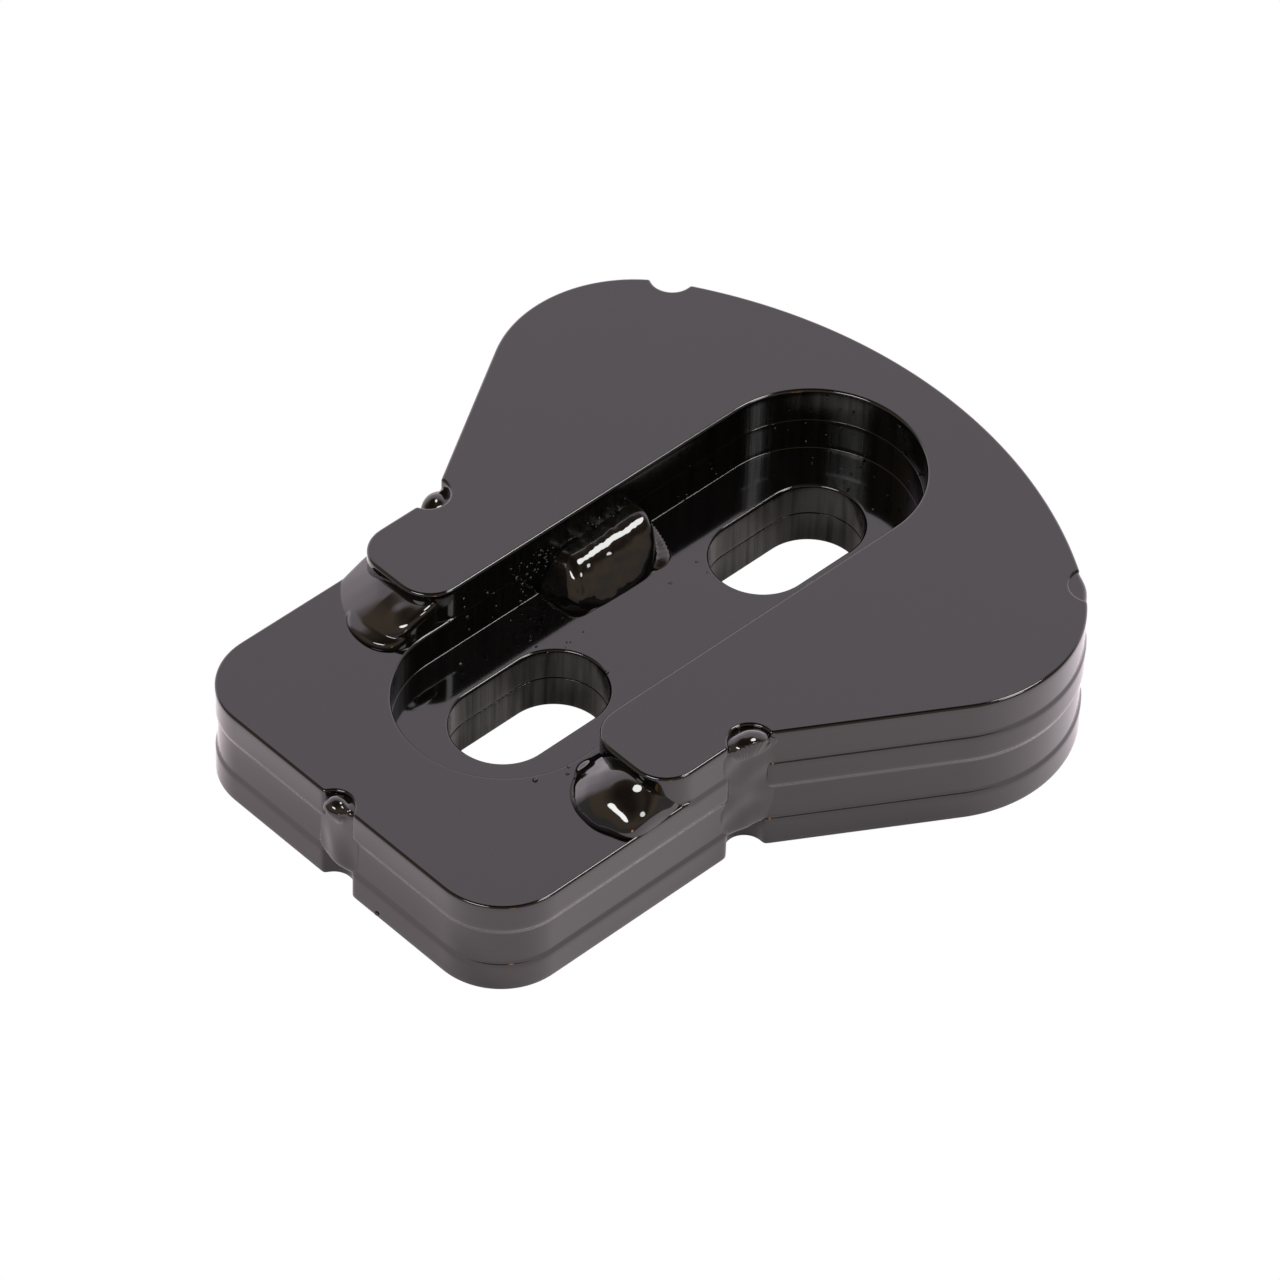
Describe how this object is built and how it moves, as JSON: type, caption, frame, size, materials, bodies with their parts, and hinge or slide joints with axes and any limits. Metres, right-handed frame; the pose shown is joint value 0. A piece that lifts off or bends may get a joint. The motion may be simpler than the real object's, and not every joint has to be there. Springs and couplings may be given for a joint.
{
  "type": "slotted eccentric cam",
  "caption": "Stacked-plate steel cam with a slotted tail, a recessed bolt channel and a wide convex cam edge, welded and coated gloss black.",
  "frame": {"origin": "on the underside, midway between the two bolt slots", "axes": "+Z is the plate normal, from the underside to the cap plate; +Y runs along the channel from the square tail to the cam edge; +X is to the right of that"},
  "size_m": [0.0898, 0.1006, 0.019],
  "materials": {
    "coated_plate": "gloss black enamel over laser-cut steel",
    "coated_weld": "gloss black enamel over weld bead"
  },
  "bodies": {
    "root": {"slot_plate_lower": "coated_plate", "slot_plate_upper": "coated_plate", "channel_plate": "coated_plate", "cap_plate": "coated_plate", "finger_weld_left": "coated_weld", "finger_weld_right": "coated_weld", "channel_weld_left": "coated_weld", "notch_weld_tail": "coated_weld", "notch_weld_neck_left": "coated_weld", "notch_weld_neck_right": "coated_weld", "notch_weld_fan_left": "coated_weld", "notch_weld_fan_right": "coated_weld"}
  },
  "joints": []
}
